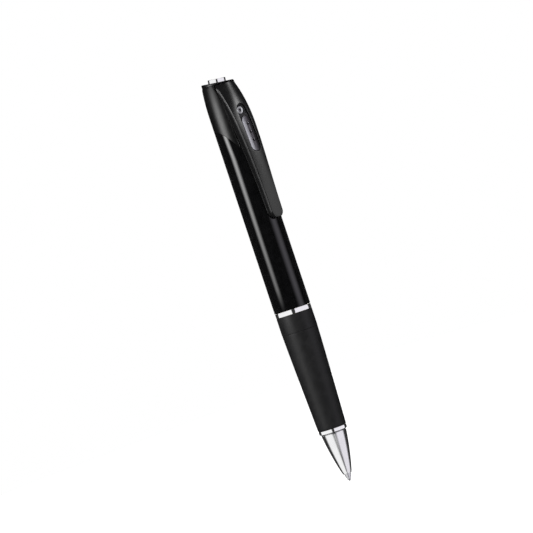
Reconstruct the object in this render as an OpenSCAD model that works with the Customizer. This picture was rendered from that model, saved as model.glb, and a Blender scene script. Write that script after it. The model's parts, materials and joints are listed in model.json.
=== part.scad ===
// Ballpoint pen with a camera in its head: a slim two-part barrel, a pinned pocket clip that
// carries a sliding lens cover, a recorder inside the upper half and a refill in the lower half.
// The axis of the pen is Z, the writing point is the origin, and the clip faces -Y.

/* [Overall] */
// Length from the writing point to the middle of the head's slanted top face
head_z = 146.6; // [145:0.1:148]
// Outer diameter of the barrel
barrel_d = 13.1; // [12.8:0.1:13.6]
// Slope of the head's top face, down towards the clip
top_tilt = 9.1; // [6:0.1:11]

/* [Lower half] */
// Length of the polished tip cone, from its mouth to its shoulder
cone_len = 15.1; // [14.9:0.1:15.3]
// Height of the shoulder where the tip cone meets the lower ring
cone_z = 17.9; // [17.8:0.1:18]
// Height of the joint between the rubber grip and the middle ring
joint_z = 61.5; // [61:0.1:62]
// Diameter of the rubber grip at its foot
grip_foot_d = 10.2; // [9.8:0.1:10.4]

/* [Clip] */
// Height of the clip's free end
clip_z = 94.8; // [94:0.1:97]
// Distance of the clip's face from the pen's axis at its free end
clip_reach = 8.5; // [8.3:0.1:8.8]
// Width of the clip's face near its free end
clip_tail_w = 5.2; // [4.8:0.1:5.6]
// Width of the clip's face at the top of the head
clip_head_w = 9.2; // [8.8:0.1:9.4]

/* [Lens cover] */
// Width of the slot in the clip
slot_w = 4.6; // [4.4:0.1:4.8]
// Height of the slot's lower end
slot_low = 118.8; // [118.6:0.1:119]
// Height of the slot's upper end
slot_high = 136.6; // [136.4:0.1:136.7]
// Length of the sliding lens cover
cover_len = 13.1; // [12.8:0.1:13.2]
// Height of the lens above the writing point
lens_z = 134.4; // [134.2:0.1:134.5]

/* [Hidden] */

$fn = 96;
eps = 0.01;
barrel_r = barrel_d / 2;
skin = 0.5;                         // wall of the barrel tube
bore_r = barrel_r - skin;
neck_r = bore_r - 0.03;             // neck of the barrel inside the head's skirt
neck_top = 132.4;
ring_top = joint_z + 1.7;
collar_r = 5.35;                    // thread of the collar, taken at its crest
collar_bore = 4.95;
collar_foot = joint_z - 4.5;
collar_head = ring_top + 6.5;
board_y = 1.6;                      // front face of the main board
board_t = 0.8;

// ---- shared shapes -------------------------------------------------------------------------

// A prism with its outline in (Y, Z), centred on X
module side_prism(outline, width)
    translate([-width / 2, 0, 0]) rotate([90, 0, 90]) linear_extrude(width) polygon(outline);

// A prism with its outline in (X, Z), between two values of Y
module front_prism(y_from, y_to)
    translate([0, y_to, 0]) rotate([90, 0, 0]) linear_extrude(y_to - y_from) children();

// An upright slot outline with round ends
module stadium(width, low, high) {
    r = width / 2;
    translate([0, low + r]) circle(r);
    translate([0, high - r]) circle(r);
    translate([-r, low + r]) square([width, high - low - width]);
}

// A box given by its middle in X, and its corners in Y and Z
module block(width, y_range, z_range)
    translate([-width / 2, y_range[0], z_range[0]])
        cube([width, y_range[1] - y_range[0], z_range[1] - z_range[0]]);

// Places what follows on the slanted top face, with +Z square to that face
module on_top_face() translate([0, 0, head_z]) rotate([top_tilt, 0, 0]) children();

// A round wire coil along +Z, swept as one closed skin
module coil(r, wire, length, turns) {
    sides = 8;
    steps = turns * 20;
    points = [for (i = [0:steps], k = [0:sides - 1])
        let (turn = 360 * turns * i / steps, a = 360 * k / sides, reach = r + wire * cos(a))
            [reach * cos(turn), reach * sin(turn), wire + (length - 2 * wire) * i / steps + wire * sin(a)]];
    skin_faces = [for (i = [0:steps - 1], k = [0:sides - 1])
        let (n = (k + 1) % sides) [i * sides + k, (i + 1) * sides + k, (i + 1) * sides + n, i * sides + n]];
    start = [for (k = [0:sides - 1]) k];
    end = [for (k = [sides - 1:-1:0]) steps * sides + k];
    polyhedron(points, concat(skin_faces, [start, end]), convexity = 6);
}

// ---- head ----------------------------------------------------------------------------------

head_top_r = 5.65;
head_wide_z = 135.4;                // below this the head is as wide as the barrel
function head_r(z) = barrel_r - (barrel_r - head_top_r) * pow(max(0, z - head_wide_z) / 12.1, 2);

// The head's lower edge drops towards the clip in one sweep: s is 0 at the back, 1 near the clip
skirt_back_z = 131;
skirt_tip_z = 121.2;
function skirt_z(y) = let (s = (barrel_r - y) / 11.5)
    max(skirt_tip_z, skirt_back_z - 2.4 * s - 6.9 * pow(s, 4));

// The clip lies in a pocket whose floor is a slanted plane: distance of that plane from the axis
function floor_at(z) = 2.9 + (146 - z) * 0.1;
pocket_top = 145.35;
pocket_low_half = 4.12;
shelf_z = 143.4;                    // above this the pocket's floor is round, to make room for the button
shelf_r = 4.35;
function pocket_half(z) = pocket_low_half + (z - 122.4) * 0.0452;

module above_floor(extra, low, high)
    side_prism([[-floor_at(low) + extra, low], [20, low], [20, high], [-floor_at(high) + extra, high]], 30);

module above_skirt_edge(gap)
    side_prism(concat([for (y = [-8:0.5:8]) [y, skirt_z(y) + gap]], [[8, 160], [-8, 160]]), 30);

module pocket_outline(low)
    polygon([[-pocket_half(low), low], [pocket_half(low), low],
        [pocket_half(pocket_top), pocket_top], [-pocket_half(pocket_top), pocket_top]]);

hinge_y = -2.7;
hinge_z = 139;
hinge_r = 0.5;
module along_x(r, width)
    translate([-width / 2, hinge_y, hinge_z]) rotate([0, 90, 0]) cylinder(r = r, h = width);

module head_body() {
    intersection() {
        rotate_extrude() polygon(concat([[0, 120], [head_r(120), 120]],
            [for (z = [head_wide_z:1:148.4]) [head_r(z), z]], [[0, 148.4]]));
        on_top_face() rotate_extrude() polygon(concat([[0, -40], [12, -40], [6.5, -3.2]],
            [for (a = [0:15:90]) [head_top_r - 0.45 + 0.45 * cos(a), -0.45 + 0.45 * sin(a)]], [[0, 0]]));
        above_skirt_edge(0.06);
    }
}

module head_shell() color([0.15, 0.15, 0.155]) difference() {
    head_body();
    // room for the neck of the barrel
    translate([0, 0, 120]) cylinder(r = bore_r, h = neck_top + 0.1 - 120);
    // room for the camera and the switch
    intersection() {
        translate([0, 0, neck_top]) cylinder(r = 5.15, h = 20);
        on_top_face() translate([0, 0, -30.9]) cylinder(r = 12, h = 30);
        above_floor(0.6, neck_top, 150);
    }
    on_top_face() translate([0, 0, -2.3]) cylinder(r = shelf_r - 0.4, h = 1.4);
    // pocket for the clip, open in front
    difference() {
        front_prism(-20, 0) pocket_outline(120);
        above_floor(0, neck_top + 0.1, 150);
        translate([0, 0, shelf_z]) cylinder(r = shelf_r, h = 9);
    }
    // button hole, lens hole, window and bore for the clip's hinge
    on_top_face() translate([0, 0, -3]) cylinder(r = button_r + 0.1, h = 6);
    front_prism(-8, -2) translate([0, lens_z]) circle(1.5);
    block(4.2, [-5, -1.4], [hinge_z - 1.5, hinge_z + 1.5]);
    along_x(hinge_r, 10.4);
}

// ---- upper half ----------------------------------------------------------------------------

module upper_barrel() color([0.05, 0.05, 0.055]) difference() {
    union() {
        difference() {
            translate([0, 0, ring_top]) cylinder(r = barrel_r, h = 69);
            above_skirt_edge(0);
        }
        intersection() {
            translate([0, 0, 116]) cylinder(r = neck_r, h = neck_top - 116);
            union() {
                above_floor(0.02, skirt_tip_z, neck_top);
                cylinder(r = 20, h = skirt_tip_z);
            }
        }
    }
    translate([0, 0, ring_top - 1]) cylinder(r = bore_r, h = 115 - ring_top);
    translate([0, 0, 110]) intersection() {
        cylinder(r = neck_r - skin, h = 30);
        translate([0, 0, -110]) union() {
            above_floor(0.6, skirt_tip_z - 0.5, 150);
            cylinder(r = 20, h = skirt_tip_z - 0.5);
        }
    }
}

module middle_ring() color([0.85, 0.85, 0.86]) {
    translate([0, 0, joint_z]) rotate_extrude() polygon([[collar_r + 0.02, 0.04], [barrel_r - 0.25, 0.04],
        [barrel_r - 0.05, 0.25], [barrel_r - 0.05, 1.45], [barrel_r - 0.25, 1.66], [collar_r + 0.02, 1.66]]);
}

// The collar fills the barrel's mouth above the ring, and the lower half screws on below it
module threaded_collar() color([0.75, 0.62, 0.3]) difference() {
    pitch = 0.6;
    union() {
        translate([0, 0, ring_top + 0.02]) cylinder(r = bore_r - 0.02, h = collar_head - ring_top);
        translate([0, 0, collar_foot]) cylinder(r = collar_r - 0.18, h = collar_head - collar_foot);
        translate([0, 0, joint_z - 0.4]) cylinder(r = collar_r, h = 3);
        for (i = [0:5]) translate([0, 0, collar_foot + 0.35 + i * pitch]) rotate_extrude()
            polygon([[4.98, 0], [collar_r - 0.18, 0], [collar_r, 0.18], [collar_r, 0.24],
                [collar_r - 0.18, 0.42], [4.98, 0.42]]);
    }
    translate([0, 0, collar_foot - 1]) cylinder(r = collar_bore, h = 20);
}

usb_y = [-2.3, 1.6];
usb_w = 7.7;
usb_z = [collar_foot + 0.2, collar_foot + 9.4];

module port_plate() color([0.1, 0.1, 0.1]) difference() {
    translate([0, 0, collar_foot + 0.05]) cylinder(r = collar_bore - 0.01, h = 0.8);
    block(usb_w + 0.04, [usb_y[0] - 0.02, usb_y[1] + 0.02], [collar_foot - 1, collar_foot + 2]);
}

module usb_shell() color([0.8, 0.8, 0.82]) difference() {
    block(usb_w, usb_y, usb_z);
    block(usb_w - 0.6, [usb_y[0] + 0.3, usb_y[1] - 0.3], [usb_z[0] - 1, usb_z[1] - 0.5]);
}

tongue_y = [-0.75, 0.15];
module usb_tongue() color([0.08, 0.08, 0.08])
    block(4.8, tongue_y, [usb_z[0] + 0.8, usb_z[1] - 0.5]);

module usb_contacts() color([0.85, 0.7, 0.35])
    for (i = [-2:2]) translate([i * 0.8, 0, 0])
        block(0.4, [tongue_y[0] - 0.15, tongue_y[0]], [usb_z[0] + 1.1, usb_z[1] - 0.5]);

// ---- recorder ------------------------------------------------------------------------------

board_low = collar_foot + 1;
board_high = 130.4;

module main_board() color([0.1, 0.35, 0.2]) {
    block(8, [board_y, board_y + board_t], [board_low, 70]);
    block(9.8, [board_y, board_y + board_t], [70, board_high]);
}

module chip(width, height, thick, z) block(width, [board_y + board_t, board_y + board_t + thick],
    [z - height / 2, z + height / 2]);

module processor_chip() color([0.12, 0.12, 0.13]) chip(7, 7, 0.9, 96);
module memory_chip() color([0.14, 0.14, 0.15]) chip(8, 9, 1, 108);
module crystal() color([0.8, 0.8, 0.78]) chip(2.5, 3.2, 0.8, 86);

module microphone() color([0.75, 0.75, 0.77])
    translate([0, board_y, 122]) rotate([90, 0, 0]) cylinder(r = 2, h = 1.5);

battery_y = [-3.6, 1.2];
battery_z = [76, 114];
module battery() color([0.62, 0.64, 0.66]) difference() {
    front_prism(battery_y[0], battery_y[1]) translate([-4.2, battery_z[0]])
        square([8.4, battery_z[1] - battery_z[0]]);
    for (x = [-1, 1], y = battery_y) translate([x * 4.2, y, battery_z[0] - 1]) rotate([0, 0, 45])
        cube([1, 1, 90], center = true);
}

module battery_leads() color([0.7, 0.1, 0.1]) for (x = [-1.6, 1.6])
    translate([x, board_y, battery_z[1]]) rotate([90, 0, 90]) rotate([0, 0, 90])
        rotate_extrude(angle = 90) translate([1.15, 0]) circle(0.35);

camera_y = [-3.1, -0.9, 0.6, 1.2];
module lens_barrel() color([0.1, 0.1, 0.1]) difference() {
    front_prism(camera_y[0], camera_y[1]) translate([0, lens_z]) circle(2.2);
    front_prism(camera_y[0] - 1, camera_y[0] + 1.2) translate([0, lens_z]) circle(0.8);
}

module sensor_holder() color([0.16, 0.16, 0.17])
    block(6.5, [camera_y[1], camera_y[2]], [lens_z - 3.25, lens_z + 3.25]);

module camera_board() color([0.1, 0.3, 0.2])
    block(7, [camera_y[2], camera_y[3]], [lens_z - 3.4, lens_z + 3.4]);

module camera_flex() color([0.75, 0.5, 0.15]) {
    block(4, [camera_y[3], camera_y[3] + 0.15], [board_high - 5, lens_z + 2]);
    block(5, [camera_y[3] + 0.15, board_y], [board_high - 5, board_high - 2]);
}

bezel_front = -6.64;
module lens_bezel() color([0.72, 0.72, 0.74]) difference() {
    front_prism(bezel_front, camera_y[0] - 0.02) translate([0, lens_z]) circle(1.45);
    front_prism(bezel_front - 1, -5) translate([0, lens_z]) circle(0.62);
    front_prism(-5.5, -3) translate([0, lens_z]) circle(0.8);
}

module lens_glass() color([0.1, 0.12, 0.2])
    front_prism(-5.5, -5) translate([0, lens_z]) circle(0.79);

// ---- button --------------------------------------------------------------------------------

button_r = 3.15;
button_top = 1.35;                  // above the head's top face
button_edge = 0.2;
module push_button() color([0.87, 0.87, 0.88]) on_top_face() rotate_extrude()
    polygon(concat([[0, -1.5], [3.75, -1.5], [3.75, -0.95], [button_r, -0.95]],
        [for (a = [0:15:90])
            [button_r - button_edge * (1 - cos(a)), button_top - button_edge * (1 - sin(a))]],
        [[0, button_top]]));

switch_top = -2.15;
module switch_plunger() color([0.9, 0.88, 0.8]) on_top_face()
    translate([0, 0, -2.4]) cylinder(r = 0.9, h = 0.9);

module button_switch() color([0.7, 0.7, 0.72]) on_top_face() difference() {
    translate([-2.25, -2.25, switch_top - 1.4]) cube([4.5, 4.5, 1.4]);
    translate([0, 0, switch_top - 0.9]) cylinder(r = 1, h = 2);
}

module switch_board() color([0.1, 0.35, 0.2]) on_top_face() intersection() {
    translate([0, 0, switch_top - 2.2]) cylinder(r = 4.4, h = 0.8);
    translate([-5, -3, -10]) cube([10, 10, 10]);
}

module status_led() color([0.8, 0.85, 0.95]) on_top_face()
    translate([-0.8, 2.6, switch_top - 1.4]) cube([1.6, 0.8, 0.6]);

module switch_flex() color([0.75, 0.5, 0.15])
    block(3.5, [board_y + board_t, board_y + board_t + 0.15], [board_high - 4, head_z - 4.1]);

module clip_hinge_pin() color([0.7, 0.7, 0.72]) along_x(hinge_r, 10.2);

spring_z = 141.9;
module clip_spring() color([0.75, 0.75, 0.75])
    translate([0, -floor_at(spring_z) - 0.15, spring_z]) rotate([90, 0, 0]) coil(0.8, 0.15, 1.6, 4);

// ---- clip ----------------------------------------------------------------------------------

clip_top = 145;
clip_wall = 0.75;
function ease(u) = let (v = min(1, max(0, u))) v * v * (3 - 2 * v);
// The middle of the face swells round the slot, and its edges stay as they are
swell = 0.5;
function clip_swell(z) = swell * ease((z - 100) / 26) * ease((145.5 - z) / 9);
function clip_face(z) = clip_reach - 2.7 * pow(max(0, z - 99) / 46.2, 3) + clip_swell(z);
function clip_half(z) = clip_tail_w / 2 + (clip_head_w - clip_tail_w) / 2 * ease((z - 96) / 48.5);
function clip_sag(z) = 0.1 + 2.2 * pow(max(0, z - 128) / 17, 2.2) + clip_swell(z);
function clip_base(z) = z > skirt_tip_z ? floor_at(z) + 0.4 : 5.2;

// Rings of the clip's skin: close together round the free end, then even
tail_r = 2.5;
tail_rings = [for (a = [6:12:90]) tail_r * (1 - cos(a))];
clip_rings = concat([for (t = tail_rings) clip_z + t],
    [for (z = [clip_z + tail_r + 1.5:1.5:clip_top - 0.8]) z], [clip_top]);
function tail_scale(z) = let (t = min(1, (z - clip_z) / tail_r)) sqrt(max(0.004, 1 - pow(1 - t, 2)));

across = 12;
// inset shrinks the section for the channel inside; deep is how far back the section reaches
function clip_section(z, inset, deep) = let (
        half = clip_half(z) * tail_scale(z) - inset,
        face = clip_face(z) - inset,
        edge = face - clip_sag(z))
    concat([for (i = [0:across]) let (u = 2 * i / across - 1) [half * u, -(face - clip_sag(z) * u * u), z]],
        [[half + 0.16, -edge + 0.3, z], [half + 0.3, -deep, z], [-half - 0.3, -deep, z],
            [-half - 0.16, -edge + 0.3, z]]);

module clip_loft(rings, inset, back) {
    n = across + 5;
    last = len(rings) - 1;
    points = [for (z = rings) each clip_section(z, inset, back ? 1 : clip_base(z))];
    sides = [for (i = [0:last - 1], k = [0:n - 1])
        let (m = (k + 1) % n) [i * n + k, (i + 1) * n + k, (i + 1) * n + m, i * n + m]];
    polyhedron(points, concat(sides, [[for (k = [0:n - 1]) k], [for (k = [n - 1:-1:0]) last * n + k]]),
        convexity = 6);
}

// The lens cover slides on a straight slanted line just under the clip's face
slide_low = 119;
slide_slope = 0.072;
slide_y = 8.15;
function slide_at(z) = slide_y - slide_slope * (z - slide_low);
module slide_slab(top, thick, low, high, width)
    side_prism([[-slide_at(low) + top, low], [-slide_at(high) + top, high],
        [-slide_at(high) + top + thick, high], [-slide_at(low) + top + thick, low]], width);

inner_rings = [for (z = [clip_z + 1:1.5:clip_top - 1.1]) z];
module pocket_clip() color([0.2, 0.2, 0.205]) {
    difference() {
        clip_loft(clip_rings, 0, false);
        difference() {
            clip_loft(inner_rings, clip_wall, true);
            // a flat land is left on both sides of the slot
            slide_slab(-5, 5, slot_low - 1.6, slot_high + 0.9, 20);
        }
        slide_slab(0, 1.6, slot_low - 1.5, slot_high + 0.9 - eps, 2 * guide_half + 0.2);
        translate([0, 0, 90]) cylinder(r = barrel_r + 0.3, h = 34);
        translate([0, 0, shelf_z - 0.3]) cylinder(r = shelf_r + 0.4, h = 4);
        front_prism(-12, -4) stadium(slot_w, slot_low, slot_high);
    }
    // lug on the hinge pin
    difference() {
        union() {
            along_x(1.15, 3.4);
            block(3.4, [-6.7, hinge_y], [hinge_z - 0.9, hinge_z + 1]);
        }
        along_x(hinge_r + 0.05, 12);
    }
}

guide_half = 3;
cover_gap = 0.15;
flange_top = 0.04;
flange_t = 0.26;
cover_low = slot_low + 0.12;
cover_high = cover_low + cover_len;
module cover_guide() color([0.1, 0.1, 0.1]) difference() {
    slide_slab(0.4, 0.2, slot_low - 1.4, slot_high + 0.8, 2 * guide_half);
    front_prism(-10, 0) translate([0, lens_z]) circle(1.65);
}

module lens_cover() color([0.3, 0.29, 0.32]) {
    intersection() {
        front_prism(-12, 0) stadium(slot_w - 2 * cover_gap, cover_low, cover_high);
        side_prism(concat([for (z = [118:1:134]) [-clip_face(z) - 0.04, z]],
            [[-slide_at(134) + flange_top, 134], [-slide_at(118) + flange_top, 118]]), 20);
    }
    slide_slab(flange_top, flange_t, cover_low - 0.9, cover_high + 0.9, 5.6);
}

stud_r = 0.58;
stud_low = 123.1;
stud_pitch = 3.05;
module cover_studs() color([0.5, 0.5, 0.53]) for (i = [0:2]) let (z = stud_low + i * stud_pitch)
    translate([0, -clip_face(z) - 0.04, z]) intersection() {
        sphere(stud_r);
        translate([-2, -1.35, -2]) cube([4, 1.35, 4]);
    }

// ---- lower half ----------------------------------------------------------------------------

grip_foot = cone_z + 1.6;
// Half of the grip's outline: straight above its seam, then one long curve to its foot
grip_line = 55;
grip_top_r = 6.5;
grip_seam_r = 6.35;
grip_waist_r = 6.46;
function grip_r(z) = z > grip_line ? grip_top_r :
    let (u = (grip_line - z) / (grip_line - grip_foot))
    grip_waist_r - (grip_waist_r - grip_foot_d / 2) * pow(u, 1.1);

module rubber_grip() color([0.11, 0.11, 0.11]) rotate_extrude() polygon(concat(
    [[tube_r(grip_foot) + 0.02, grip_foot], [grip_r(grip_foot), grip_foot]],
    [for (z = [grip_foot + 0.5:2.5:grip_line]) [grip_r(z), z]],
    [[grip_waist_r, grip_line], [grip_seam_r, grip_line + 0.12], [grip_top_r, grip_line + 0.3],
        [grip_top_r, joint_z - 0.25], [grip_seam_r, joint_z - 0.06]],
    [for (z = [joint_z - 0.06, 50, 42, 34, 26]) [tube_r(z) + 0.02, z]]));

function tube_r(z) = z > 50 ? 5.85 : 3.9 + 1.95 * (z - grip_foot) / (50 - grip_foot);
tube_foot = cone_z + 1.55;
holder_z = [52.6, 56.4];
module grip_tube() color([0.6, 0.6, 0.58]) rotate_extrude() polygon(concat(
    [for (z = [tube_foot, 26, 34, 42, 50, joint_z - 0.06]) [tube_r(max(z, grip_foot)), z]],
    [[collar_r + 0.06, joint_z - 0.06], [collar_r + 0.06, holder_z[1]], [4.9, holder_z[1]], [4.9, 49],
        [3.3, 28], [3.3, tube_foot]]));

ring_r = grip_foot_d / 2 - 0.06;
module lower_ring() color([0.85, 0.85, 0.86]) translate([0, 0, cone_z]) rotate_extrude()
    polygon([[3.3, 0.06], [4.6, 0.06], [ring_r - 0.1, 0.2], [ring_r, 0.4], [ring_r, 1.45],
        [ring_r - 0.08, 1.54], [3.3, 1.54]]);

module refill_holder() color([0.2, 0.2, 0.2]) difference() {
    translate([0, 0, holder_z[0]]) cylinder(r = 4.89, h = holder_z[1] - holder_z[0]);
    translate([0, 0, holder_z[0] - 1]) cylinder(r = refill_r + 0.05, h = 3.4);
    translate([0, 0, holder_z[0]]) cylinder(r = 0.8, h = 10);
}

cone_mouth = cone_z - cone_len;
function cone_r(z) = let (u = (z - cone_mouth) / cone_len) 1.6 + 2.93 * (1.42 * u - 0.42 * u * u);
module tip_cone() color([0.9, 0.9, 0.91]) rotate_extrude() polygon(concat(
    [[1.2, cone_mouth], [1.45, cone_mouth]],
    [for (i = [0:14]) let (z = cone_mouth + 0.15 + i * 1.055) [cone_r(z), z]],
    [[4.43, cone_z], [3.24, cone_z], [3.24, cone_z + 4.6], [3.04, cone_z + 4.8], [2.3, cone_z + 4.8],
        [2.3, cone_z - 2], [1.62, cone_mouth + 5], [1.62, cone_mouth + 1.4], [1.2, cone_mouth + 1.2]]));

refill_r = 1.5;
refill_top = 55;
nose_z = cone_mouth + 1.6;
module refill_tube() color([0.85, 0.87, 0.88]) difference() {
    translate([0, 0, nose_z]) cylinder(r = refill_r, h = refill_top - nose_z - 0.1);
    translate([0, 0, nose_z - 1]) cylinder(r = 1.1, h = 60);
}

module refill_nose() color([0.75, 0.65, 0.35]) rotate_extrude()
    polygon([[0, 0.36], [0.38, 0.36], [0.58, 0.62], [1.05, 2.05], [1.14, 2.3], [1.14, cone_mouth + 1.3],
        [1.48, cone_mouth + 1.58], [1.08, nose_z - 0.01], [1.08, nose_z + 3], [0, nose_z + 3]]);

module refill_ball() color([0.8, 0.8, 0.82]) intersection() {
    translate([0, 0, 0.35]) sphere(0.35);
    cylinder(r = 1, h = 0.355);
}

module refill_ink() color([0.05, 0.05, 0.2])
    translate([0, 0, nose_z + 3.02]) cylinder(r = 1.08, h = 40);

head_shell();
upper_barrel();
middle_ring();
threaded_collar();
port_plate();
clip_hinge_pin();
clip_spring();
lens_bezel();
lens_glass();
lens_barrel();
sensor_holder();
camera_board();
camera_flex();
main_board();
processor_chip();
memory_chip();
crystal();
microphone();
battery();
battery_leads();
usb_shell();
usb_tongue();
usb_contacts();
switch_board();
button_switch();
status_led();
switch_flex();
push_button();
switch_plunger();
pocket_clip();
cover_guide();
lens_cover();
cover_studs();
grip_tube();
rubber_grip();
lower_ring();
refill_holder();
tip_cone();
refill_tube();
refill_nose();
refill_ball();
refill_ink();
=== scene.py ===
import json
import math

import bmesh
import bpy
from mathutils import Matrix, Vector

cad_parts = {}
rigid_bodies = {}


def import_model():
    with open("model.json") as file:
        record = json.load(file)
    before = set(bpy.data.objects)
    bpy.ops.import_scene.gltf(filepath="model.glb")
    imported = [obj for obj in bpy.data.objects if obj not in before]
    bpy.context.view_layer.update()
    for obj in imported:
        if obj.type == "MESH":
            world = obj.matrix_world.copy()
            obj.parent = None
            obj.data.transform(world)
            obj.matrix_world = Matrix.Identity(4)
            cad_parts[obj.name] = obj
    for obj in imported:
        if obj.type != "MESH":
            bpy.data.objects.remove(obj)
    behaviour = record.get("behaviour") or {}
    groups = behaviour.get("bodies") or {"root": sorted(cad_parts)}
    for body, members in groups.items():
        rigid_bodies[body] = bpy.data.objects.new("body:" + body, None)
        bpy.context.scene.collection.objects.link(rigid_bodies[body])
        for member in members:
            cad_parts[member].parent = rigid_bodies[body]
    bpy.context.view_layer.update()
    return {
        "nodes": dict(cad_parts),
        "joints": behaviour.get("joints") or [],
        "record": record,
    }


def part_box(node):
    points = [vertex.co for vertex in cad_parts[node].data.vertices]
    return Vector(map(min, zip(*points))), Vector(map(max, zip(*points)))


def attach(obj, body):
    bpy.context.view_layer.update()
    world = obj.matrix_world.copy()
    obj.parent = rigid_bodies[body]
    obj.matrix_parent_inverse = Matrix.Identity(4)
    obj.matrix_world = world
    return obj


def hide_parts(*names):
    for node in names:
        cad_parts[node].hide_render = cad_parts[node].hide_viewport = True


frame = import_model()

# Lengths in this script are in millimetres and angles in degrees; MM turns a length into metres.
MM = 0.001


def low(node):
    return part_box(node)[0] / MM


def high(node):
    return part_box(node)[1] / MM


def sin(a):
    return math.sin(math.radians(a))


def cos(a):
    return math.cos(math.radians(a))


# ---- sizes: from the CAD boxes where a box tells them, else as in the part's source -------------

BARREL_R = high("upper_barrel").x
JOINTS = {j["name"]: j for j in frame["joints"]}
PRESS = Vector(JOINTS["button_press"]["axis"])
TOP_TILT = math.degrees(math.atan2(PRESS.y, -PRESS.z))
HEAD_Z = 146.6                          # where the head's slanted top face meets the axis
HEAD_TOP_R = 5.65
HEAD_WIDE_Z = 135.4                     # above this the head gets narrower
SKIRT_TIP_Z = low("head_shell").z
POCKET_TOP = 145.35                     # upper end of the pocket that the clip lies in
CLIP_LOW, CLIP_TOP = low("pocket_clip").z, high("pocket_clip").z
CLIP_REACH = 8.5                        # from the axis to the face of the clip's tail
BUTTON_R = 3.15
LENS_Z = (low("lens_bezel").z + high("lens_bezel").z) / 2
LENS_R = high("lens_bezel").x
SLOT_R, SLOT_LOW, SLOT_HIGH = 2.3, 118.8, 136.6
COVER_R = SLOT_R - 0.15
COVER_LOW, COVER_HIGH = low("lens_cover").z + 0.9, high("lens_cover").z - 0.9
ROUND = 160                             # steps round a full turn


def head_r(z):
    """Radius of the head, which curves in above its widest level."""
    return BARREL_R - (BARREL_R - HEAD_TOP_R) * (max(0, z - HEAD_WIDE_Z) / 12.1) ** 2


def skirt_z(y):
    """Height of the head's lower edge, which sweeps down from the back to the clip's side."""
    s = (BARREL_R - y) / 11.5
    return max(SKIRT_TIP_Z, 131 - 2.4 * s - 6.9 * s ** 4)


def floor_at(z):
    """Distance from the axis of the pocket's slanted floor."""
    return 2.9 + (146 - z) * 0.1


def pocket_half(z):
    """Half the pocket's width."""
    return 4.12 + (z - 122.4) * 0.0452


def ease(u):
    """A smooth step from 0 to 1."""
    v = min(1, max(0, u))
    return v * v * (3 - 2 * v)


def clip_swell(z):
    """How far the middle of the clip's face swells out round the slot."""
    return 0.5 * ease((z - 100) / 26) * ease((145.5 - z) / 9)


def clip_face(z):
    """Distance from the axis of the middle of the clip's face."""
    return CLIP_REACH - 2.7 * (max(0, z - 99) / 46.2) ** 3 + clip_swell(z)


def clip_half(z):
    """Half the width of the clip's face."""
    return 2.6 + 2 * ease((z - 96) / 48.5)


def clip_sag(z):
    """How far the edges of the clip's face lie below its middle."""
    return 0.1 + 2.2 * (max(0, z - 128) / 17) ** 2.2 + clip_swell(z)


def slide_at(z):
    """Distance from the axis of the slanted plane that the lens cover slides on."""
    return 8.15 - 0.072 * (z - SLOT_LOW - 0.2)


# ---- mesh tools ---------------------------------------------------------------------------------


def add_piece(name, points, faces, material, body, nodes, sharp=35):
    """A new piece from points in millimetres, that stands for CAD nodes and rides on their body."""
    mesh = bpy.data.meshes.new(name)
    mesh.from_pydata([Vector(p) * MM for p in points], [], faces)
    bm = bmesh.new()
    bm.from_mesh(mesh)
    bmesh.ops.remove_doubles(bm, verts=bm.verts, dist=2e-7)
    bmesh.ops.dissolve_degenerate(bm, edges=bm.edges, dist=1e-8)
    bmesh.ops.recalc_face_normals(bm, faces=bm.faces)
    bm.to_mesh(mesh)
    bm.free()
    mesh.shade_smooth()
    mesh.set_sharp_from_angle(angle=math.radians(sharp))
    piece = bpy.data.objects.new(name, mesh)
    bpy.context.scene.collection.objects.link(piece)
    mesh.materials.append(material)
    if nodes:
        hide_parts(*nodes)
    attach(piece, body)
    return piece


def fillet(points, steps=5):
    """A path of (x, y, radius) corners turned into points, each corner rounded by its own radius."""
    out = []
    last = len(points) - 1
    for i, (x, y, radius) in enumerate(points):
        if radius == 0 or i in (0, last):
            out.append((x, y))
            continue
        here = Vector((x, y))
        back = (Vector(points[i - 1][:2]) - here).normalized()
        on = (Vector(points[i + 1][:2]) - here).normalized()
        half = back.angle(on) / 2
        reach = radius / math.tan(half)
        start, end = here + back * reach, here + on * reach
        centre = here + (back + on).normalized() * (radius / math.sin(half))
        for k in range(steps + 1):
            p = (start.lerp(end, k / steps) - centre).normalized() * radius + centre
            out.append((p.x, p.y))
    return out


def grid_faces(rows, columns, close_rows=False, close_columns=False, start=0):
    """Quads over a grid of points stored row by row."""
    faces = []
    for i in range(rows if close_rows else rows - 1):
        for k in range(columns if close_columns else columns - 1):
            a, b = i * columns + k, i * columns + (k + 1) % columns
            c, d = ((i + 1) % rows) * columns + (k + 1) % columns, ((i + 1) % rows) * columns + k
            faces.append(tuple(start + n for n in (a, b, c, d)))
    return faces


def lathe(name, outline, material, body, nodes, place=None, steps=ROUND):
    """Turns an outline of (radius, height) points round Z, then puts it in place with a matrix."""
    place = place or Matrix.Identity(4)
    points = [place @ Vector((r * sin(360 * k / steps), -r * cos(360 * k / steps), z))
              for r, z in outline for k in range(steps)]
    faces = grid_faces(len(outline), steps, close_columns=True)
    add_piece(name, points, faces, material, body, nodes)


# ---- materials ----------------------------------------------------------------------------------


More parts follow.
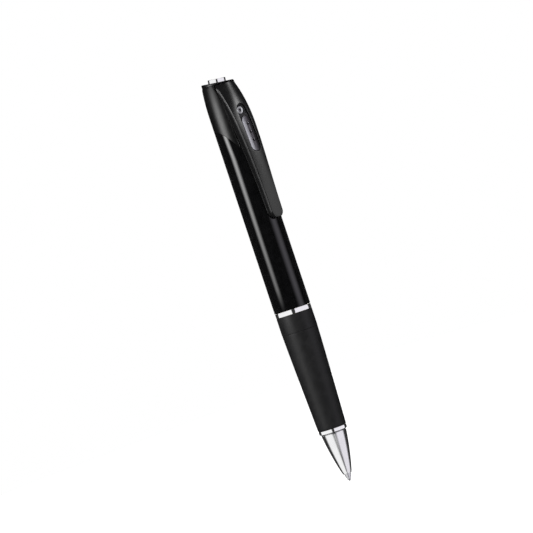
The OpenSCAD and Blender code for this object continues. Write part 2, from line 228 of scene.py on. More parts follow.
class Nodes:
    """A short way to write a node material: each method adds one node and returns its output."""

    def __init__(self, name):
        self.material = bpy.data.materials.new(name)
        self.material.use_nodes = True
        self.tree = self.material.node_tree
        self.shader = self.tree.nodes["Principled BSDF"]
        self.place = self.add("ShaderNodeTexCoord").outputs["Object"]

    def add(self, kind, **settings):
        node = self.tree.nodes.new(kind)
        for key, value in settings.items():
            setattr(node, key, value)
        return node

    def link(self, source, socket):
        if isinstance(source, (int, float)):
            socket.default_value = source
        else:
            self.tree.links.new(source, socket)

    def stretched(self, x, y, z):
        node = self.add("ShaderNodeMapping")
        node.inputs["Scale"].default_value = (x, y, z)
        self.link(self.place, node.inputs["Vector"])
        return node.outputs["Vector"]

    def noise(self, scale, detail=3, rough=0.5, vector=None):
        node = self.add("ShaderNodeTexNoise")
        node.inputs["Scale"].default_value = scale
        node.inputs["Detail"].default_value = detail
        node.inputs["Roughness"].default_value = rough
        self.link(vector or self.place, node.inputs["Vector"])
        return node.outputs["Fac"]

    def cells(self, scale):
        node = self.add("ShaderNodeTexVoronoi")
        node.inputs["Scale"].default_value = scale
        self.link(self.place, node.inputs["Vector"])
        return node.outputs

    def ramp(self, value, low_at, low_out, high_at, high_out):
        node = self.add("ShaderNodeMapRange")
        self.link(value, node.inputs["Value"])
        for socket, number in zip(node.inputs[1:5], (low_at, high_at, low_out, high_out)):
            socket.default_value = number
        return node.outputs["Result"]

    def mix(self, factor, first, second):
        node = self.add("ShaderNodeMix", data_type="RGBA")
        self.link(factor, node.inputs["Factor"])
        node.inputs[6].default_value = (*first, 1)
        node.inputs[7].default_value = (*second, 1)
        return node.outputs[2]

    def bump(self, height, strength, distance, under=None):
        node = self.add("ShaderNodeBump")
        node.inputs["Strength"].default_value = strength
        node.inputs["Distance"].default_value = distance
        self.link(height, node.inputs["Height"])
        if under:
            self.link(under, node.inputs["Normal"])
        return node.outputs["Normal"]

    def finish(self, color=None, roughness=None, normal=None, **numbers):
        for key, value in numbers.items():
            self.shader.inputs[key.replace("_", " ")].default_value = value
        if color is not None:
            if isinstance(color, tuple):
                self.shader.inputs["Base Color"].default_value = (*color, 1)
            else:
                self.link(color, self.shader.inputs["Base Color"])
        if roughness is not None:
            self.link(roughness, self.shader.inputs["Roughness"])
        if normal is not None:
            self.link(normal, self.shader.inputs["Normal"])
        return self.material


def moulded_black(name, tone, rough_low, rough_high, specular):
    n = Nodes(name)
    fine = n.noise(9000, 2)
    cloud = n.noise(300, 4)
    darker, lighter = tuple(t * 0.85 for t in tone), tuple(t * 1.2 for t in tone)
    return n.finish(color=n.mix(n.ramp(cloud, 0.3, 0, 0.7, 1), darker, lighter),
                    roughness=n.ramp(n.noise(900, 4), 0.3, rough_low, 0.7, rough_high),
                    normal=n.bump(fine, 0.03, 0.00002),
                    Specular_IOR_Level=specular)


def lacquer_black(name):
    n = Nodes(name)
    wave = n.noise(260, 2)
    wipe = n.noise(2600, 3, vector=n.stretched(1, 1, 0.08))
    cloud = n.ramp(n.noise(500, 3), 0.35, 0, 0.65, 1)
    return n.finish(color=n.mix(cloud, (0.0012, 0.0012, 0.0013), (0.0022, 0.0022, 0.0024)),
                    roughness=n.ramp(wipe, 0.35, 0.07, 0.7, 0.11),
                    normal=n.bump(wave, 0.05, 0.00004),
                    Specular_IOR_Level=0.35)


def chrome(name, gloss):
    n = Nodes(name)
    tone = (0.93, 0.93, 0.935)
    turned = n.noise(2200, 3, vector=n.stretched(0.02, 0.02, 3))
    haze = n.noise(350, 4)
    darker = tuple(t * 0.95 for t in tone)
    return n.finish(color=n.mix(n.ramp(haze, 0.35, 0, 0.65, 1), darker, tone),
                    roughness=n.ramp(haze, 0.3, gloss * 0.75, 0.7, gloss * 1.2),
                    normal=n.bump(turned, 0.03, 0.00001),
                    Metallic=1.0)


def satin_metal(name, dark, light, rough_low, rough_high):
    n = Nodes(name)
    flakes = n.cells(7000)
    drawn = n.noise(2400, 3, vector=n.stretched(1, 1, 0.05))
    tint = n.mix(n.ramp(flakes["Color"], 0.2, 0, 0.8, 1), dark, light)
    return n.finish(color=tint,
                    roughness=n.ramp(drawn, 0.3, rough_low, 0.7, rough_high),
                    normal=n.bump(n.noise(8000, 2), 0.07, 0.00001),
                    Metallic=1.0)


def rubber(name):
    n = Nodes(name)
    grain = n.noise(6500, 3)
    dust = n.noise(420, 5, 0.6)
    dusty = n.ramp(dust, 0.4, 0, 0.75, 1)
    return n.finish(color=n.mix(dusty, (0.006, 0.006, 0.0064), (0.009, 0.009, 0.0094)),
                    roughness=n.ramp(dust, 0.3, 0.46, 0.7, 0.56),
                    normal=n.bump(grain, 0.12, 0.00003),
                    Specular_IOR_Level=0.3)


def lens_black(name):
    n = Nodes(name)
    return n.finish(color=n.mix(n.noise(1500, 2), (0.002, 0.002, 0.003), (0.004, 0.004, 0.007)),
                    roughness=n.ramp(n.noise(700, 2), 0, 0.02, 1, 0.05),
                    Specular_IOR_Level=0.8, Coat_Weight=1.0, Coat_Roughness=0.02)


def brass(name):
    n = Nodes(name)
    turned = n.noise(2600, 3, vector=n.stretched(0.02, 0.02, 3))
    tarnish = n.noise(500, 4)
    return n.finish(color=n.mix(n.ramp(tarnish, 0.35, 0, 0.7, 1), (0.55, 0.42, 0.18), (0.72, 0.58, 0.28)),
                    roughness=n.ramp(tarnish, 0.3, 0.18, 0.7, 0.32),
                    normal=n.bump(turned, 0.08, 0.00002),
                    Metallic=1.0)


def board(name):
    n = Nodes(name)
    tracks = n.cells(700)["Distance"]
    return n.finish(color=n.mix(n.ramp(tracks, 0.25, 0, 0.3, 1), (0.012, 0.09, 0.04), (0.03, 0.16, 0.07)),
                    roughness=n.ramp(n.noise(900, 3), 0.3, 0.3, 0.7, 0.45))


def plain(name, tone, rough, metallic=0.0):
    """A small part's material, plastic or metal: a little uneven in tone, in gloss and in relief."""
    n = Nodes(name)
    darker, lighter = tuple(t * 0.9 for t in tone), tuple(min(1, t * 1.15) for t in tone)
    return n.finish(color=n.mix(n.noise(1200, 3), darker, lighter),
                    roughness=n.ramp(n.noise(1500, 3), 0.3, rough * 0.85, 0.7, rough * 1.15),
                    normal=n.bump(n.noise(7000, 2), 0.05, 0.00002),
                    Metallic=metallic)


HEAD_BLACK = moulded_black("head_black", (0.0022, 0.0022, 0.0023), 0.28, 0.34, 0.45)
BARREL_BLACK = lacquer_black("barrel_black")
CHROME = chrome("chrome", 0.09)
CONE_METAL = chrome("cone_metal", 0.17)
CLIP_GREY = moulded_black("clip_grey", (0.004, 0.004, 0.0043), 0.26, 0.31, 0.5)
COVER_GREY = satin_metal("cover_grey", (0.16, 0.153, 0.163), (0.22, 0.212, 0.225), 0.28, 0.36)
GUIDE_BLACK = plain("guide_black", (0.02, 0.02, 0.021), 0.45)
RUBBER = rubber("grip_rubber")
BEZEL_SILVER = satin_metal("bezel_silver", (0.7, 0.7, 0.71), (0.82, 0.82, 0.83), 0.36, 0.46)
LENS_BLACK = lens_black("lens_black")
BRASS = brass("brass")
BOARD = board("board")
DARK_PLASTIC = plain("dark_plastic", (0.015, 0.015, 0.016), 0.45)
STEEL = plain("steel", (0.6, 0.6, 0.62), 0.28, metallic=1.0)

# What each of the record's material slots looks like. The refill's tube is as dark as the ink in it.
SLOT_MATERIALS = {
    "head_black": HEAD_BLACK, "barrel_black": BARREL_BLACK, "chrome_trim": CHROME, "brass_collar": BRASS,
    "black_moulding": DARK_PLASTIC, "steel": STEEL, "lens_silver": BEZEL_SILVER, "lens_clear": LENS_BLACK,
    "circuit_board": BOARD, "flex_film": plain("flex_film", (0.5, 0.26, 0.05), 0.35),
    "chip_black": plain("chip_black", (0.02, 0.02, 0.022), 0.5),
    "battery_foil": plain("battery_foil", (0.6, 0.62, 0.65), 0.3, metallic=0.7),
    "lead_red": plain("lead_red", (0.5, 0.02, 0.02), 0.35), "usb_steel": STEEL,
    "contact_gold": plain("contact_gold", (0.85, 0.6, 0.22), 0.25, metallic=1.0),
    "led_clear": plain("led_clear", (0.75, 0.8, 0.9), 0.15),
    "plunger_white": plain("plunger_white", (0.75, 0.73, 0.66), 0.4), "clip_grey": CLIP_GREY,
    "guide_black": GUIDE_BLACK, "cover_gunmetal": COVER_GREY, "tube_metal": BRASS, "grip_rubber": RUBBER,
    "refill_plastic": plain("refill_plastic", (0.05, 0.065, 0.16), 0.3),
    "refill_brass": STEEL, "ball_carbide": CHROME,
    "ink_blue": plain("ink_blue", (0.01, 0.01, 0.08), 0.3),
}


# ---- camera, first of all -----------------------------------------------------------------------

# The pen stands upright here, and the camera is rolled so that the pen leans to the left in the
# picture. The camera stands level with a place near the pen's middle and looks a little higher.
VIEW_AZIMUTH = -43.5
PEN_LEAN = 18.43
CAMERA_AWAY = 650
CAMERA_HEIGHT = 70
TARGET_HEIGHT = 80.06
TARGET_ASIDE = -3.97
FRAME_WIDTH = 186.0                     # what the picture's width shows at the pen

sideways = Vector((cos(VIEW_AZIMUTH), sin(VIEW_AZIMUTH), 0))
towards = Vector((sin(VIEW_AZIMUTH), -cos(VIEW_AZIMUTH), 0))
eye = (towards * CAMERA_AWAY + Vector((0, 0, CAMERA_HEIGHT))) * MM
target = (Vector((0, 0, TARGET_HEIGHT)) + sideways * TARGET_ASIDE) * MM


def add_camera():
    data = bpy.data.cameras.new("camera")
    data.sensor_width = 36
    data.lens = 36 * CAMERA_AWAY / FRAME_WIDTH
    data.clip_start = 0.01
    camera = bpy.data.objects.new("camera", data)
    bpy.context.scene.collection.objects.link(camera)
    back = (eye - target).normalized()
    lean = Matrix.Rotation(math.radians(-PEN_LEAN), 4, back)
    up = (lean @ Vector((0, 0, 1)) - back * (lean @ Vector((0, 0, 1))).dot(back)).normalized()
    side = up.cross(back)
    camera.matrix_world = Matrix.Translation(eye) @ Matrix((side, up, back)).transposed().to_4x4()
    bpy.context.scene.camera = camera


add_camera()

# ---- barrel, rings, grip, cone: turned pieces ---------------------------------------------------


def ring_sections(name, columns, material, body, nodes):
    """A closed band: one closed section per column, all with the same number of points."""
    points = [p for section in columns for p in section]
    faces = grid_faces(len(columns), len(columns[0]), close_rows=True, close_columns=True)
    add_piece(name, points, faces, material, body, nodes)


def on_turn(angle, r, z):
    """The point at a radius and a height, turned by an angle from the clip's side."""
    return (r * sin(angle), -r * cos(angle), z)


def add_barrel():
    foot = low("upper_barrel").z + 0.02
    columns = []
    for k in range(ROUND * 2):
        angle = 180 * k / ROUND
        top = skirt_z(-BARREL_R * cos(angle)) - 0.02
        outline = fillet([(6.03, foot, 0), (BARREL_R, foot, 0.12), (BARREL_R, top, 0.1), (6.0, top, 0)])
        split = len(outline) // 2
        base, rise = outline[split - 1][1], outline[split][1] - outline[split - 1][1]
        lift = [base + rise * t / 8 for t in range(1, 8)]
        outline = outline[:split] + [(BARREL_R, z) for z in lift] + outline[split:]
        columns.append([on_turn(angle, r, z) for r, z in outline])
    ring_sections("barrel_skin", columns, BARREL_BLACK, "upper_half", ["upper_barrel"])


def add_turned_trim():
    z0, z1 = low("middle_ring").z - 0.02, high("middle_ring").z + 0.03
    r = high("middle_ring").x
    lathe("chrome_middle_ring", fillet([(5.4, z0, 0), (r, z0, 0.12), (r, z1, 0.12), (5.4, z1, 0)]),
          CHROME, "upper_half", ["middle_ring"])
    z0, z1 = low("lower_ring").z, high("lower_ring").z + 0.04
    r = high("lower_ring").x
    lathe("chrome_lower_ring", fillet([(3.35, z0, 0), (4.56, z0, 0.05), (r, z0 + 0.36, 0.2), (r, z1, 0.04),
                                       (3.6, z1, 0)]),
          CHROME, "lower_half", ["lower_ring"])


GRIP_FOOT_R = 5.1
GRIP_SEAM = 55


def grip_r(z):
    foot = low("rubber_grip").z
    u = min(1, max(0, (GRIP_SEAM - z) / (GRIP_SEAM - foot)))
    return 6.46 - (6.46 - GRIP_FOOT_R) * u ** 1.1


def add_grip():
    foot, top = low("rubber_grip").z, high("rubber_grip").z
    heights = [foot + 0.35 + (GRIP_SEAM - foot - 0.5) * i / 60 for i in range(61)]
    side = [(grip_r(z), z) for z in heights]
    rim = fillet([(4.2, foot, 0), (grip_r(foot) - 0.02, foot, 0.3), (side[1][0], side[1][1], 0)])
    seam = fillet([(6.45, GRIP_SEAM - 0.1, 0), (6.46, GRIP_SEAM, 0.04), (6.36, GRIP_SEAM + 0.08, 0.03),
                   (6.5, GRIP_SEAM + 0.2, 0.06), (6.5, top + 0.04, 0.1), (5.9, top + 0.04, 0)])
    lathe("rubber_sleeve", rim[:-1] + side[1:] + seam, RUBBER, "lower_half", ["rubber_grip"])


def add_cone():
    shoulder = low("lower_ring").z - 0.06
    mouth = low("tip_cone").z
    length = shoulder - mouth

    def cone_r(z):
        u = (z - mouth) / length
        return 1.6 + 2.93 * (1.42 * u - 0.42 * u * u)

    side = [(cone_r(mouth + length * i / 40), mouth + length * i / 40) for i in range(2, 40)]
    foot = fillet([(1.2, mouth + 1.2, 0), (1.2, mouth, 0.06), (1.5, mouth, 0.12), (*side[0], 0)])
    head = fillet([(*side[-1], 0), (4.51, shoulder - 0.01, 0.12), (3.24, shoulder - 0.01, 0),
                   (3.24, shoulder + 4.6, 0), (3.0, shoulder + 4.8, 0)])
    lathe("tip_cone_skin", foot[:-1] + side + head[1:], CONE_METAL, "cone", ["tip_cone"])


def add_refill_nose():
    mouth = low("tip_cone").z
    outline = fillet([(0.3, 0.36, 0), (0.38, 0.36, 0.03), (0.58, 0.62, 0.1), (1.05, 2.05, 0.2),
                      (1.14, 2.3, 0.1), (1.14, mouth + 1.3, 0.1), (1.48, mouth + 1.58, 0),
                      (1.08, mouth + 1.6, 0), (1.08, mouth + 4.6, 0)])
    lathe("refill_point", outline, STEEL, "refill", ["refill_nose"], steps=64)


def add_button():
    place = Matrix.Translation((0, 0, HEAD_Z)) @ Matrix.Rotation(math.radians(TOP_TILT), 4, "X")
    outline = fillet([(0, 1.34, 0), (2.3, 1.34, 1.2), (BUTTON_R, 1.28, 0.16), (BUTTON_R, -0.95, 0.02),
                      (3.75, -0.95, 0.05), (3.75, -1.5, 0.05), (0, -1.5, 0)], steps=8)
    lathe("button_cap", outline, CHROME, "button", ["push_button"], place=place)


# ---- head ---------------------------------------------------------------------------------------

EDGE = 0.26                             # width of the chamfer along the clip's pocket


def add_head():
    """Columns run from the skirt's edge up over the rim to the button hole; the pocket's two edges
    bound them in front, and a short band closes the front above the pocket."""
    slope = math.tan(math.radians(TOP_TILT))
    around, up, wall = 150, 46, 6
    hole_r, rim = BUTTON_R + 0.1, 0.3
    tilt = Matrix.Translation((0, 0, HEAD_Z)) @ Matrix.Rotation(math.radians(TOP_TILT), 4, "X")

    def edge_angle(z, inset):
        return math.degrees(math.asin((pocket_half(min(z, POCKET_TOP)) + inset) / head_r(z)))

    def above(angle):
        """Points from the pocket's top level over the rim to the bottom of the button hole."""
        z_rim = HEAD_Z - slope * HEAD_TOP_R * cos(angle)
        out = []
        for i in range(1, 4):
            z = POCKET_TOP + (z_rim - rim - POCKET_TOP) * i / 3
            out.append(on_turn(angle, min(head_r(z), HEAD_TOP_R + 0.06), z))
        r = min(head_r(z_rim - rim), HEAD_TOP_R + 0.06)
        for a in (15, 30, 45, 60, 75, 90):
            out.append(on_turn(angle, r - rim + rim * cos(a), z_rim - rim + rim * sin(a)))
        start = Vector(out[-1])
        ring = [tilt @ Vector((q * sin(angle), -q * cos(angle), z))
                for q, z in ((hole_r + 0.08, 0), (hole_r + 0.02, -0.03), (hole_r, -0.1), (hole_r, -0.9))]
        return out + [start.lerp(ring[0], t) for t in (0.33, 0.66)] + ring

    columns = []
    for k in range(around + 1):
        turn = k / around
        column = []
        for i in range(up + 1):
            guess = SKIRT_TIP_Z
            for _ in range(12):         # the skirt's edge depends on the angle, and the angle on the height
                a = edge_angle(guess, EDGE)
                angle = a + (360 - 2 * a) * turn
                guess = skirt_z(-BARREL_R * cos(angle)) + 0.05
            z = guess + (POCKET_TOP - guess) * (i / up)
            a = edge_angle(z, EDGE)
            column.append(on_turn(a + (360 - 2 * a) * turn, head_r(z), z))
        r_low = Vector(column[0])
        lip = [on_turn(math.degrees(math.atan2(r_low.x, -r_low.y)), BARREL_R - d, r_low.z + dz)
               for d, dz in ((0.5, -0.03), (0.06, -0.03), (0.02, -0.01))]
        a = edge_angle(POCKET_TOP, EDGE)
        columns.append(lip + column + above(a + (360 - 2 * a) * turn))
    size = len(columns[0])
    points = [p for c in columns for p in c]
    faces = grid_faces(len(columns), size)

    # the pocket's walls: from both edge columns, round the edge, then straight in to the floor
    first = 3
    for side, column in ((1, columns[0]), (-1, columns[-1])):
        base = len(points)
        rows = column[first:first + up + 1]
        for p in rows:
            x, y, z = p
            half, deep = pocket_half(z), -floor_at(z)
            flat = y - 0.54 * EDGE
            drop = flat + 0.12 * EDGE
            curve = [(half + EDGE, y), (half + 0.95 * EDGE, y - 0.04 * EDGE), (half + 0.12 * EDGE, flat),
                     (half, drop)]
            flat = [(half, drop + (deep - drop) * t / wall) for t in range(1, wall + 1)]
            points.extend((side * px, py, z) for px, py in curve + flat)
        faces += grid_faces(len(rows), len(curve) + wall, start=base)

    # the pocket's floor, and its top wall
    heights = [p[2] for p in columns[0][first:first + up + 1]]
    base = len(points)
    steps = 12
    for z in heights:
        points.extend((pocket_half(z) * (2 * t / steps - 1), -floor_at(z), z) for t in range(steps + 1))
    faces += grid_faces(len(heights), steps + 1, start=base)

    # the band in front above the pocket, with the pocket's top wall below it
    a = edge_angle(POCKET_TOP, EDGE)
    base = len(points)
    front = 40
    for k in range(front + 1):
        angle = -a + 2 * a * k / front
        r = head_r(POCKET_TOP)
        x = pocket_half(POCKET_TOP) * (2 * k / front - 1)
        points.append((x, -floor_at(POCKET_TOP), POCKET_TOP))
        points.append(on_turn(angle, r - 0.1, POCKET_TOP))
        points.append(on_turn(angle, r, POCKET_TOP + 0.02))
        points.extend(above(angle))
    faces += grid_faces(front + 1, 3 + len(above(0)), start=base)
    add_piece("head_skin", points, faces, HEAD_BLACK, "upper_half", ["head_shell"])


# ---- clip ---------------------------------------------------------------------------------------

CLIP_WALL = 0.75
SLOT_ROUND = 0.13
TAIL_R = 2.5


def slot_distance(x, z):
    """Distance of a point in the clip's face from the slot's edge, negative inside it."""
    nearest = min(max(z, SLOT_LOW + SLOT_R), SLOT_HIGH - SLOT_R)
    return math.hypot(x, z - nearest) - SLOT_R


def slot_half(z, grow):
    nearest = min(max(z, SLOT_LOW + SLOT_R), SLOT_HIGH - SLOT_R)
    return math.sqrt(max(0, (SLOT_R + grow) ** 2 - (z - nearest) ** 2))


def slot_round(x, z):
    d = slot_distance(x, z)
    if d >= SLOT_ROUND:
        return 0
    d = max(d, 0)
    return SLOT_ROUND - math.sqrt(SLOT_ROUND ** 2 - (SLOT_ROUND - d) ** 2)


def tail_scale(z):
    t = min(1, max(0, (z - CLIP_LOW) / TAIL_R))
    return math.sqrt(max(0.002, 1 - (1 - t) ** 2))


def clip_outer(x, half, z):
    """Y of the clip's face."""
    u = x / half
    end = 0.28 * (1 - min(1, (z - CLIP_LOW) / 0.5)) ** 2
    return -(clip_face(z) - clip_sag(z) * u * u - end)


def clip_under(x, z):
    """Y of the highest surface below the clip, with its gap."""
    if z < SKIRT_TIP_Z + 0.3:
        return -math.sqrt(max(0, (BARREL_R + 0.3) ** 2 - x * x))
    if z > 143.1:
        return -max(floor_at(z) + 0.4, math.sqrt(max(0, 4.75 ** 2 - x * x)))
    return -(floor_at(z) + 0.4)


def clip_row(z, side):
    """Half a section, from the middle of the face out to its edge, down the side, and back inside."""
    scale = tail_scale(z)
    half = clip_half(z) * scale
    h = [slot_half(z, SLOT_ROUND * t) for t in (0, 0.2, 0.5, 1)]
    flat = half - 0.05 * scale
    row = [(x, clip_outer(x, half, z) + slot_round(x, z)) for x in h]
    row += [(x, clip_outer(x, half, z)) for x in (h[-1] + (flat - h[-1]) * t / 9 for t in range(1, 10))]
    edge = row[-1][1]
    reach = clip_under(half, z) - edge          # how deep the side is
    chamfer = min(0.36, reach * 0.4)
    row.append((half + 0.01 * scale, edge + 0.04 * scale))
    row.append((half + 0.12 * scale, edge + chamfer))
    row.append((half + 0.16 * scale, edge + chamfer + 0.08 * scale))
    foot_x = half + 0.28 * scale
    foot_y = max(clip_under(foot_x, z), edge + chamfer + 0.12)
    start_x, start_y = row[-1]
    row += [(start_x + (foot_x - start_x) * t, start_y + (foot_y - start_y) * t) for t in (0.3, 0.6, 0.94)]
    row.append((foot_x - 0.04, foot_y))
    hollow = CLIP_LOW + 1 < z < CLIP_TOP - 1.1
    inner = max(0.05, half - CLIP_WALL) if hollow else half * 0.9
    row.append((inner + 0.05, max(clip_under(inner, z), edge + 0.2)))
    for t in (1, 0.85, 0.66, 0.33, 0):
        x = max(inner * t, h[0])
        under = clip_under(x, z)
        row.append((x, min(clip_outer(x, half, z) + CLIP_WALL, under) if hollow else under))
    return [(side * x, y, z) for x, y in row]


def clip_heights():
    fine = [TAIL_R * (1 - math.cos(math.radians(a))) for a in range(0, 91, 6)]
    heights = [CLIP_LOW + t for t in fine]
    even = [CLIP_LOW + TAIL_R + 0.8 * i for i in range(1, 60)]
    heights += [z for z in even if z < CLIP_TOP - 0.3]
    ends = [SLOT_R * (1 - math.cos(math.radians(a))) for a in range(0, 91, 6)]
    heights += [SLOT_LOW + t for t in ends] + [SLOT_HIGH - t for t in ends]
    for t in (0.2, 0.5, 1):
        heights += [SLOT_LOW - SLOT_ROUND * t, SLOT_HIGH + SLOT_ROUND * t]
    heights += [CLIP_TOP - 0.12, CLIP_TOP]
    heights.sort()
    return [z for i, z in enumerate(heights) if i == 0 or z - heights[i - 1] > 0.004]


def add_clip():
    heights = clip_heights()
    points, faces = [], []
    for side in (1, -1):
        rows = [clip_row(z, side) for z in heights]
        size = len(rows[0])
        base = len(points)
        points += [p for row in rows for p in row]
        faces += grid_faces(len(rows), size, start=base)
        # walls of the slot join the face to the underside
        for i in range(len(rows) - 1):
            if slot_half(heights[i], 0) + slot_half(heights[i + 1], 0) > 0:
                a, b = base + i * size, base + (i + 1) * size
                faces.append((a, b, b + size - 1, a + size - 1))
        for end in (0, len(rows) - 1):
            faces.append(tuple(base + end * size + k for k in range(size)))
    add_piece("clip_skin", points, faces, CLIP_GREY, "clip", ["pocket_clip"], sharp=32)


# ---- lens cover and lens ------------------------------------------------------------------------


def cover_outline(inset, steps=24):
    """A slot-shaped loop, inset from the cover's edge."""
    r = max(0.02, COVER_R - inset)
    loop = []
    for k in range(steps + 1):
        loop.append((r * cos(180 * k / steps), COVER_HIGH - COVER_R + r * sin(180 * k / steps)))
    for k in range(steps + 1):
        loop.append((-r * cos(180 * k / steps), COVER_LOW + COVER_R - r * sin(180 * k / steps)))
    return loop


COVER_CROWN = 0.42                      # how far the cover's long edges lie below its middle
STUDS = 3
STUD_R = 0.58
STUD_GROOVE = 0.2


def stud_places():
    first, last = low("cover_studs").z + STUD_R, high("cover_studs").z - STUD_R
    return [first + (last - first) * i / (STUDS - 1) for i in range(STUDS)]


def cover_top(x, z):
    """Y of the cover's crowned face, with a shallow ring groove round each stud."""
    y = -(clip_face(z) + 0.02 - COVER_CROWN * (x / COVER_R) ** 2)
    for stud in stud_places():
        d = (math.hypot(x, z - stud) - STUD_R - STUD_GROOVE / 2) / STUD_GROOVE
        y += 0.1 * math.exp(-4 * d * d)
    return y


def add_cover():
    levels = [(0, 0.9), (0, 0.2), (0.03, 0.09), (0.08, 0.035), (0.16, 0.01), (0.26, 0)]
    levels += [(0.26 + (COVER_R - 0.28) * t / 28, 0) for t in range(1, 29)]
    points = []
    for inset, drop in levels:
        points += [(x, cover_top(x, z) + drop, z) for x, z in cover_outline(inset)]
    size = len(cover_outline(0))
    faces = grid_faces(len(levels), size, close_columns=True)
    last = (len(levels) - 1) * size
    for k in range(size // 2 - 1):
        faces.append((last + k, last + k + 1, last + size - 2 - k, last + size - 1 - k))
    faces.append(tuple(range(size)))
    add_piece("cover_skin", points, faces, COVER_GREY, "cover", ["lens_cover"])
    add_flange()


def add_flange():
    """The cover's thin flange, that runs under the clip's face and shows at the ends of the slot."""
    z0, z1 = low("lens_cover").z, high("lens_cover").z
    half, thick = high("lens_cover").x, 0.26
    points = []
    for z in (z0, z1):
        top = -slide_at(z) + 0.04
        points += [(-half, top, z), (half, top, z), (half, top + thick, z), (-half, top + thick, z)]
    faces = [(0, 1, 5, 4), (1, 2, 6, 5), (2, 3, 7, 6), (3, 0, 4, 7), (0, 3, 2, 1), (4, 5, 6, 7)]
    piece = add_piece("cover_flange", points, faces, GUIDE_BLACK, "cover", [])
    bevel = piece.modifiers.new("edges", "BEVEL")
    bevel.width = 0.05 * MM
    bevel.segments = 2


def add_studs():
    for i, z in enumerate(stud_places()):
        top = -(clip_face(z) + 0.02)
        place = Matrix.Translation((0, top, z)) @ Matrix.Rotation(math.radians(90), 4, "X")
        outline = [(STUD_R * sin(a), 0.46 * cos(a)) for a in range(0, 91, 9)] + [(STUD_R + 0.02, -0.14)]
        outline[0] = (0, 0.46)
        lathe("cover_stud_%d" % (i + 1), outline, COVER_GREY, "cover", ["cover_studs"] if i == 0 else [],
              place=place, steps=40)


def add_lens():
    front = -low("lens_bezel").y
    place = Matrix.Translation((0, -front, LENS_Z)) @ Matrix.Rotation(math.radians(90), 4, "X")
    r = LENS_R
    outline = fillet([(0.55, -0.9, 0), (0.55, -0.18, 0.03), (0.66, -0.06, 0.03), (r - 0.2, 0, 0.1),
                      (r, -0.12, 0.08), (r, -2.6, 0)])
    lathe("lens_bezel_ring", outline, BEZEL_SILVER, "upper_half", ["lens_bezel"],
          place=place, steps=96)
    dome = [(0.56 * sin(a), -0.45 + 0.16 * cos(a)) for a in range(0, 91, 15)] + [(0.56, -0.8)]
    lathe("lens_dome", dome, LENS_BLACK, "upper_half", ["lens_glass"], place=place, steps=64)


# ---- stage --------------------------------------------------------------------------------------


def view_place(angle, distance, height):
    """A place in metres, turned by an angle from the camera's direction, to the right if positive."""
    a = VIEW_AZIMUTH + angle
    return Vector((sin(a) * distance, -cos(a) * distance, height))


def soft_box(name, angle, height, width, tall, radiance, tint=(1, 1, 1), soft=0.5, only=None, away=0.7):
    """A light panel with soft edges that faces the pen. With only, it lights just those pieces."""
    data = bpy.data.lights.new(name, "AREA")
    data.shape = "RECTANGLE"
    data.size, data.size_y = width, tall
    data.energy = radiance * math.pi * width * tall
    data.color = tint
    data.use_nodes = True
    tree = data.node_tree
    emission = tree.nodes["Emission"]
    place = tree.nodes.new("ShaderNodeNewGeometry").outputs["Parametric"]
    split = tree.nodes.new("ShaderNodeSeparateXYZ")
    tree.links.new(place, split.inputs["Vector"])
    strength = None
    for axis in ("X", "Y"):
        centred = tree.nodes.new("ShaderNodeMath")
        centred.operation = "PINGPONG"
        centred.inputs[1].default_value = 0.5
        tree.links.new(split.outputs[axis], centred.inputs[0])
        edge = tree.nodes.new("ShaderNodeMapRange")
        edge.interpolation_type = "SMOOTHSTEP"
        edge.inputs["From Max"].default_value = max(0.001, soft / 2)
        tree.links.new(centred.outputs[0], edge.inputs["Value"])
        if strength is None:
            strength = edge.outputs["Result"]
        else:
            both = tree.nodes.new("ShaderNodeMath")
            both.operation = "MULTIPLY"
            tree.links.new(strength, both.inputs[0])
            tree.links.new(edge.outputs["Result"], both.inputs[1])
            strength = both.outputs[0]
    tree.links.new(strength, emission.inputs["Strength"])
    light = bpy.data.objects.new(name, data)
    bpy.context.scene.collection.objects.link(light)
    light.location = view_place(angle, away, height)
    aim = Vector((0, 0, 0.09)) - light.location
    light.rotation_euler = aim.to_track_quat("-Z", "Y").to_euler()
    light.visible_camera = False
    if only:
        light.light_linking.receiver_collection = only


def light_groups():
    """Collections of the pieces that share their own lights, by the name of the group."""
    members = {"metal": (CHROME, BRASS, STEEL), "cone": (CONE_METAL,), "head": (HEAD_BLACK,),
               "clip": (CLIP_GREY,), "cover": (COVER_GREY, BEZEL_SILVER)}
    groups = {name: bpy.data.collections.new("lit_" + name) for name in (*members, "rest")}
    for piece in bpy.data.objects:
        if piece.type != "MESH" or not piece.data.materials:
            continue
        found = [name for name, materials in members.items() if piece.data.materials[0] in materials]
        groups[found[0] if found else "rest"].objects.link(piece)
    return groups


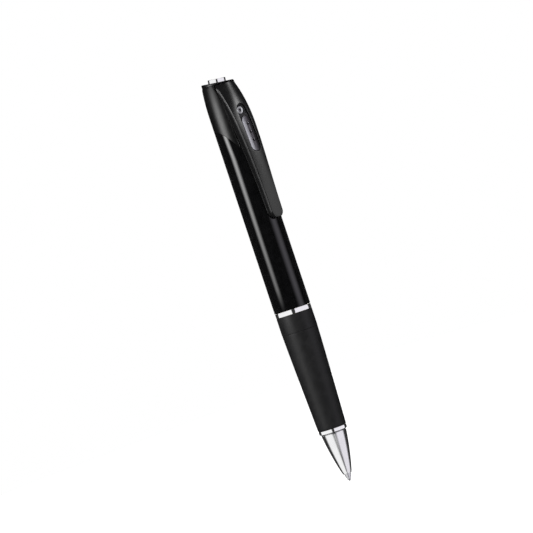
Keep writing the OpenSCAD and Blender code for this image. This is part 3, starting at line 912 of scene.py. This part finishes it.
def add_lights():
    lit = light_groups()
    cool, lilac, violet = (0.93, 0.96, 1.0), (0.96, 0.94, 1.0), (0.92, 0.86, 0.97)
    soft_box("barrel_left", -54, 0.25, 0.52, 0.6, 14.5, soft=1, only=lit["rest"])
    soft_box("barrel_right", 64, 0.1, 0.8, 0.9, 1.9, (0.93, 0.9, 1.0), soft=1, only=lit["rest"])
    soft_box("head_left", -57, 0.1, 0.8, 0.8, 9, soft=1, only=lit["head"])
    soft_box("head_edge", 30, 0.15, 0.13, 0.6, 5, soft=1, only=lit["head"])
    soft_box("head_right", 100, 0.1, 0.3, 0.9, 2.5, soft=1, only=lit["head"])
    soft_box("clip_top", 74, 0.36, 0.5, 0.36, 11, soft=1, only=lit["clip"])
    soft_box("clip_side", 87, 0.1, 0.5, 1.2, 1.0, soft=0.8, only=lit["clip"])
    soft_box("clip_edge", -55, 0.26, 0.3, 0.5, 10, soft=1, only=lit["clip"])
    soft_box("cover_left", 52, 0.2, 0.62, 0.8, 4.2, cool, soft=1, only=lit["cover"])
    soft_box("cover_middle", 87, 0.2, 0.4, 0.8, 0.6, violet, soft=1, only=lit["cover"])
    soft_box("metal_left", -61.5, 0, 1.85, 1.8, 0.95, soft=0.09, only=lit["metal"])
    soft_box("metal_right", 61, 0, 1.82, 1.8, 0.9, lilac, soft=0.09, only=lit["metal"])
    soft_box("metal_back", 180, 0, 0.3, 1.8, 0.9, soft=0.3, only=lit["metal"])
    soft_box("cone_left", -55, -0.2, 1.5, 1.8, 0.93, soft=0.5, only=lit["cone"])
    soft_box("cone_right", 55, -0.2, 1.5, 1.8, 0.83, lilac, soft=0.5, only=lit["cone"])
    soft_box("cone_front", 0, -0.09, 0.14, 0.14, 0.5, soft=0.8, only=lit["cone"], away=0.32)
    soft_box("cone_back", 180, -0.2, 0.3, 1.8, 0.8, soft=0.3, only=lit["cone"])
    soft_box("back_strip", 180, -0.02, 0.07, 0.45, 14, soft=0.8)
    soft_box("overhead", 180, 1.15, 1.7, 1.7, 0.95, soft=0.3, away=0.05)


def add_stage():
    mesh = bpy.data.meshes.new("floor")
    reach = 3.0
    mesh.from_pydata([(-reach, -reach, 0), (reach, -reach, 0), (reach, reach, 0), (-reach, reach, 0)], [],
                     [(0, 1, 2, 3)])
    floor = bpy.data.objects.new("floor", mesh)
    floor.location.z = -0.16
    bpy.context.scene.collection.objects.link(floor)
    n = Nodes("floor_white")
    mesh.materials.append(n.finish(color=(0.9, 0.9, 0.9), roughness=0.9, Emission_Color=(1, 1, 1, 1),
                                   Emission_Strength=0.35))
    floor.visible_glossy = False
    floor.visible_shadow = False

    world = bpy.data.worlds.new("studio")
    world.use_nodes = True
    world.cycles.sampling_method = "NONE"
    bpy.context.scene.world = world
    tree = world.node_tree
    background = tree.nodes["Background"]
    path = tree.nodes.new("ShaderNodeLightPath")
    tone = tree.nodes.new("ShaderNodeMix")
    tone.data_type = "RGBA"
    tone.inputs[6].default_value = (1, 1, 1, 1)
    tone.inputs[7].default_value = (0.03, 0.03, 0.03, 1)
    tree.links.new(path.outputs["Is Glossy Ray"], tone.inputs["Factor"])
    tree.links.new(tone.outputs[2], background.inputs["Color"])
    background.inputs["Strength"].default_value = 1.0
    bpy.context.scene.view_settings.view_transform = "Standard"


# ---- put together -------------------------------------------------------------------------------

for subpart in frame["record"]["subparts"]:
    shown = frame["nodes"][subpart["node"]]
    shown.data.materials.clear()
    shown.data.materials.append(SLOT_MATERIALS[subpart["material_slot"]])

add_barrel()
add_turned_trim()
add_grip()
add_cone()
add_refill_nose()
add_button()
add_head()
add_clip()
add_cover()
add_studs()
add_lens()
add_stage()
add_lights()
